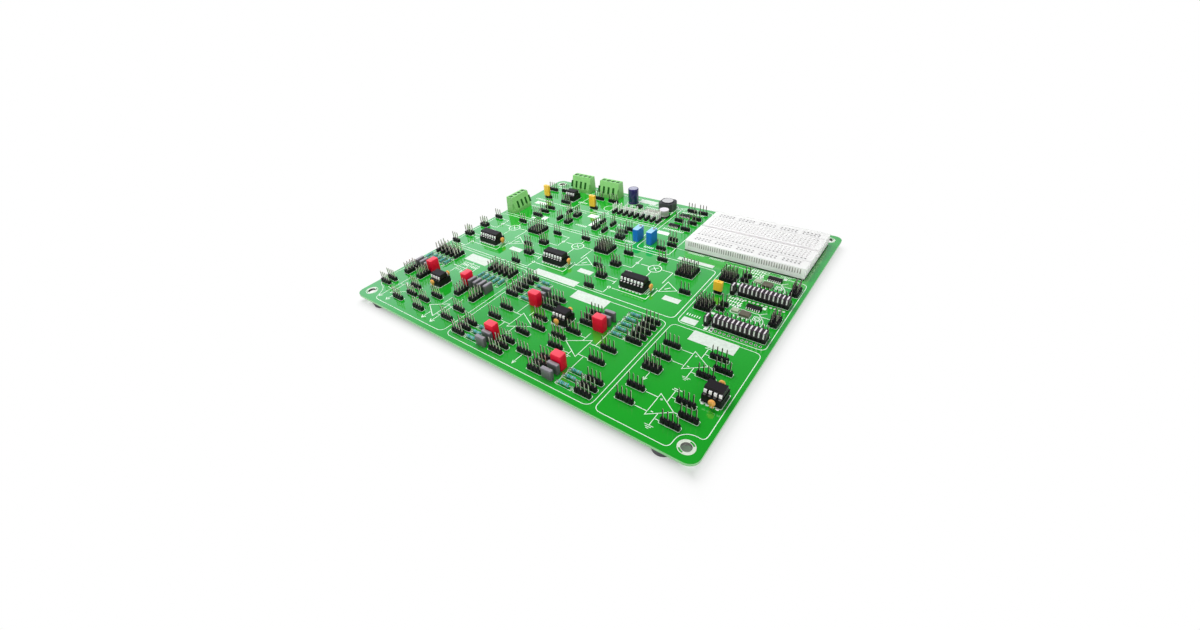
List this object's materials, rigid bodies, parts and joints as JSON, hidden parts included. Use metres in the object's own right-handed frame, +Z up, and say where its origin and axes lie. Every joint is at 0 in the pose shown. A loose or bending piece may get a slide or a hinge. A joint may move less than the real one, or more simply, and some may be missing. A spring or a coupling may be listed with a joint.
{
  "type": "analog electronics lab kit",
  "caption": "Green circuit board on rubber feet with pin strips, socketed chips, drawn analog circuits, green screw terminals and a white plug-in breadboard for analog experiments.",
  "frame": {"origin": "on the surface the kit stands on, below the middle of the board", "axes": "+X runs left to right along the board's front edge, +Y from the front edge to the back edge with the screw terminals, +Z up"},
  "size_m": [0.26, 0.235, 0.0218],
  "materials": {
    "board_green": "smooth green lacquer with white line drawing",
    "tinned_metal": "bright tinned metal",
    "foot_rubber": "dull black rubber",
    "strip_black": "dull black plastic",
    "pin_metal": "pale gold plating",
    "solder": "solder",
    "chip_grey": "dark grey moulded plastic",
    "leg_metal": "tinned sheet",
    "disc_orange": "dipped orange coating",
    "film_red": "glossy red plastic",
    "film_grey": "glossy grey plastic",
    "resistor_teal": "teal lacquer with colour bands",
    "terminal_green": "green plastic",
    "screw_steel": "zinc-plated steel",
    "clamp_brass": "nickel-plated brass",
    "cap_yellow": "yellow plastic",
    "bridge_black": "black plastic with a bright contact edge",
    "small_part_brown": "cream and brown ceramic",
    "trimmer_blue": "blue plastic",
    "coil_black": "dark grey ferrite",
    "sleeve_navy": "navy plastic sleeve",
    "can_aluminium": "plain aluminium can",
    "bread_white": "white plastic",
    "foam": "pale foam"
  },
  "bodies": {
    "lab_board": {"circuit_board": "board_green", "hole_rings": "tinned_metal", "rubber_feet": "foot_rubber", "filter_strips": "strip_black", "amplifier_strips": "strip_black", "inverter_strips": "strip_black", "multiplier_strips": "strip_black", "converter_strips": "strip_black", "power_strips": "strip_black", "pins": "pin_metal", "solder_joints": "solder", "chip_sockets": "strip_black", "chips": "chip_grey", "chip_legs": "leg_metal", "disc_capacitors": "disc_orange", "red_capacitors": "film_red", "grey_capacitors": "film_grey", "resistors": "resistor_teal", "part_leads": "tinned_metal", "terminal_housings": "terminal_green", "contact_bars": "clamp_brass", "bridge_caps": "bridge_black", "small_chips": "chip_grey", "small_chip_legs": "leg_metal", "small_parts": "small_part_brown", "trimmer_bodies": "trimmer_blue", "coil": "coil_black", "tall_capacitor": "sleeve_navy", "low_capacitor": "can_aluminium", "breadboard": "bread_white", "foam_pad": "foam"},
    "terminal_screw_1": {"terminal_screw_1": "screw_steel"},
    "wire_clamp_1": {"wire_clamp_1": "clamp_brass"},
    "terminal_screw_2": {"terminal_screw_2": "screw_steel"},
    "wire_clamp_2": {"wire_clamp_2": "clamp_brass"},
    "terminal_screw_3": {"terminal_screw_3": "screw_steel"},
    "wire_clamp_3": {"wire_clamp_3": "clamp_brass"},
    "terminal_screw_4": {"terminal_screw_4": "screw_steel"},
    "wire_clamp_4": {"wire_clamp_4": "clamp_brass"},
    "terminal_screw_5": {"terminal_screw_5": "screw_steel"},
    "wire_clamp_5": {"wire_clamp_5": "clamp_brass"},
    "terminal_screw_6": {"terminal_screw_6": "screw_steel"},
    "wire_clamp_6": {"wire_clamp_6": "clamp_brass"},
    "terminal_screw_7": {"terminal_screw_7": "screw_steel"},
    "wire_clamp_7": {"wire_clamp_7": "clamp_brass"},
    "terminal_screw_8": {"terminal_screw_8": "screw_steel"},
    "wire_clamp_8": {"wire_clamp_8": "clamp_brass"},
    "terminal_screw_9": {"terminal_screw_9": "screw_steel"},
    "wire_clamp_9": {"wire_clamp_9": "clamp_brass"},
    "terminal_screw_10": {"terminal_screw_10": "screw_steel"},
    "wire_clamp_10": {"wire_clamp_10": "clamp_brass"},
    "terminal_screw_11": {"terminal_screw_11": "screw_steel"},
    "wire_clamp_11": {"wire_clamp_11": "clamp_brass"},
    "terminal_screw_12": {"terminal_screw_12": "screw_steel"},
    "wire_clamp_12": {"wire_clamp_12": "clamp_brass"},
    "yellow_cap_1": {"yellow_cap_1": "cap_yellow"},
    "yellow_cap_2": {"yellow_cap_2": "cap_yellow"},
    "yellow_cap_3": {"yellow_cap_3": "cap_yellow"},
    "trimmer_screw_1": {"trimmer_screw_1": "clamp_brass"},
    "trimmer_screw_2": {"trimmer_screw_2": "clamp_brass"}
  },
  "joints": [
    {"name": "terminal_screw_1_turn", "type": "hinge", "parent": "lab_board", "child": "terminal_screw_1", "pos_m": [-0.12262, 0.03891, 0.0196], "axis": [0, 0, -1], "range_deg": [0, 1800]},
    {"name": "wire_clamp_1_rise", "type": "slide", "parent": "lab_board", "child": "wire_clamp_1", "axis": [0, 0, 1], "range_m": [0, 0.0025]},
    {"name": "terminal_screw_2_turn", "type": "hinge", "parent": "lab_board", "child": "terminal_screw_2", "pos_m": [-0.12262, 0.04399, 0.0196], "axis": [0, 0, -1], "range_deg": [0, 1800]},
    {"name": "wire_clamp_2_rise", "type": "slide", "parent": "lab_board", "child": "wire_clamp_2", "axis": [0, 0, 1], "range_m": [0, 0.0025]},
    {"name": "terminal_screw_3_turn", "type": "hinge", "parent": "lab_board", "child": "terminal_screw_3", "pos_m": [-0.12262, 0.04907, 0.0196], "axis": [0, 0, -1], "range_deg": [0, 1800]},
    {"name": "wire_clamp_3_rise", "type": "slide", "parent": "lab_board", "child": "wire_clamp_3", "axis": [0, 0, 1], "range_m": [0, 0.0025]},
    {"name": "terminal_screw_4_turn", "type": "hinge", "parent": "lab_board", "child": "terminal_screw_4", "pos_m": [-0.12262, 0.05415, 0.0196], "axis": [0, 0, -1], "range_deg": [0, 1800]},
    {"name": "wire_clamp_4_rise", "type": "slide", "parent": "lab_board", "child": "wire_clamp_4", "axis": [0, 0, 1], "range_m": [0, 0.0025]},
    {"name": "terminal_screw_5_turn", "type": "hinge", "parent": "lab_board", "child": "terminal_screw_5", "pos_m": [-0.10096, 0.10739, 0.0196], "axis": [0, 0, -1], "range_deg": [0, 1800]},
    {"name": "wire_clamp_5_rise", "type": "slide", "parent": "lab_board", "child": "wire_clamp_5", "axis": [0, 0, 1], "range_m": [0, 0.0025]},
    {"name": "terminal_screw_6_turn", "type": "hinge", "parent": "lab_board", "child": "terminal_screw_6", "pos_m": [-0.09588, 0.10739, 0.0196], "axis": [0, 0, -1], "range_deg": [0, 1800]},
    {"name": "wire_clamp_6_rise", "type": "slide", "parent": "lab_board", "child": "wire_clamp_6", "axis": [0, 0, 1], "range_m": [0, 0.0025]},
    {"name": "terminal_screw_7_turn", "type": "hinge", "parent": "lab_board", "child": "terminal_screw_7", "pos_m": [-0.0908, 0.10739, 0.0196], "axis": [0, 0, -1], "range_deg": [0, 1800]},
    {"name": "wire_clamp_7_rise", "type": "slide", "parent": "lab_board", "child": "wire_clamp_7", "axis": [0, 0, 1], "range_m": [0, 0.0025]},
    {"name": "terminal_screw_8_turn", "type": "hinge", "parent": "lab_board", "child": "terminal_screw_8", "pos_m": [-0.08572, 0.10739, 0.0196], "axis": [0, 0, -1], "range_deg": [0, 1800]},
    {"name": "wire_clamp_8_rise", "type": "slide", "parent": "lab_board", "child": "wire_clamp_8", "axis": [0, 0, 1], "range_m": [0, 0.0025]},
    {"name": "terminal_screw_9_turn", "type": "hinge", "parent": "lab_board", "child": "terminal_screw_9", "pos_m": [-0.06976, 0.10739, 0.0196], "axis": [0, 0, -1], "range_deg": [0, 1800]},
    {"name": "wire_clamp_9_rise", "type": "slide", "parent": "lab_board", "child": "wire_clamp_9", "axis": [0, 0, 1], "range_m": [0, 0.0025]},
    {"name": "terminal_screw_10_turn", "type": "hinge", "parent": "lab_board", "child": "terminal_screw_10", "pos_m": [-0.06468, 0.10739, 0.0196], "axis": [0, 0, -1], "range_deg": [0, 1800]},
    {"name": "wire_clamp_10_rise", "type": "slide", "parent": "lab_board", "child": "wire_clamp_10", "axis": [0, 0, 1], "range_m": [0, 0.0025]},
    {"name": "terminal_screw_11_turn", "type": "hinge", "parent": "lab_board", "child": "terminal_screw_11", "pos_m": [-0.0596, 0.10739, 0.0196], "axis": [0, 0, -1], "range_deg": [0, 1800]},
    {"name": "wire_clamp_11_rise", "type": "slide", "parent": "lab_board", "child": "wire_clamp_11", "axis": [0, 0, 1], "range_m": [0, 0.0025]},
    {"name": "terminal_screw_12_turn", "type": "hinge", "parent": "lab_board", "child": "terminal_screw_12", "pos_m": [-0.05452, 0.10739, 0.0196], "axis": [0, 0, -1], "range_deg": [0, 1800]},
    {"name": "wire_clamp_12_rise", "type": "slide", "parent": "lab_board", "child": "wire_clamp_12", "axis": [0, 0, 1], "range_m": [0, 0.0025]},
    {"name": "yellow_cap_1_pull", "type": "slide", "parent": "lab_board", "child": "yellow_cap_1", "axis": [0, 0, 1], "range_m": [0, 0.0067]},
    {"name": "yellow_cap_2_pull", "type": "slide", "parent": "lab_board", "child": "yellow_cap_2", "axis": [0, 0, 1], "range_m": [0, 0.0067]},
    {"name": "yellow_cap_3_pull", "type": "slide", "parent": "lab_board", "child": "yellow_cap_3", "axis": [0, 0, 1], "range_m": [0, 0.0061]},
    {"name": "trimmer_screw_1_turn", "type": "hinge", "parent": "lab_board", "child": "trimmer_screw_1", "pos_m": [0.00332, 0.04919, 0.0176], "axis": [0, 0, 1], "range_deg": [-4500, 4500]},
    {"name": "trimmer_screw_2_turn", "type": "hinge", "parent": "lab_board", "child": "trimmer_screw_2", "pos_m": [0.01476, 0.04966, 0.0176], "axis": [0, 0, 1], "range_deg": [-4500, 4500]}
  ],
  "couplings": [
    {"joint": "terminal_screw_1_turn", "follows": "wire_clamp_1_rise", "rad_per_m": 12565},
    {"joint": "terminal_screw_2_turn", "follows": "wire_clamp_2_rise", "rad_per_m": 12565},
    {"joint": "terminal_screw_3_turn", "follows": "wire_clamp_3_rise", "rad_per_m": 12565},
    {"joint": "terminal_screw_4_turn", "follows": "wire_clamp_4_rise", "rad_per_m": 12565},
    {"joint": "terminal_screw_5_turn", "follows": "wire_clamp_5_rise", "rad_per_m": 12565},
    {"joint": "terminal_screw_6_turn", "follows": "wire_clamp_6_rise", "rad_per_m": 12565},
    {"joint": "terminal_screw_7_turn", "follows": "wire_clamp_7_rise", "rad_per_m": 12565},
    {"joint": "terminal_screw_8_turn", "follows": "wire_clamp_8_rise", "rad_per_m": 12565},
    {"joint": "terminal_screw_9_turn", "follows": "wire_clamp_9_rise", "rad_per_m": 12565},
    {"joint": "terminal_screw_10_turn", "follows": "wire_clamp_10_rise", "rad_per_m": 12565},
    {"joint": "terminal_screw_11_turn", "follows": "wire_clamp_11_rise", "rad_per_m": 12565},
    {"joint": "terminal_screw_12_turn", "follows": "wire_clamp_12_rise", "rad_per_m": 12565}
  ]
}
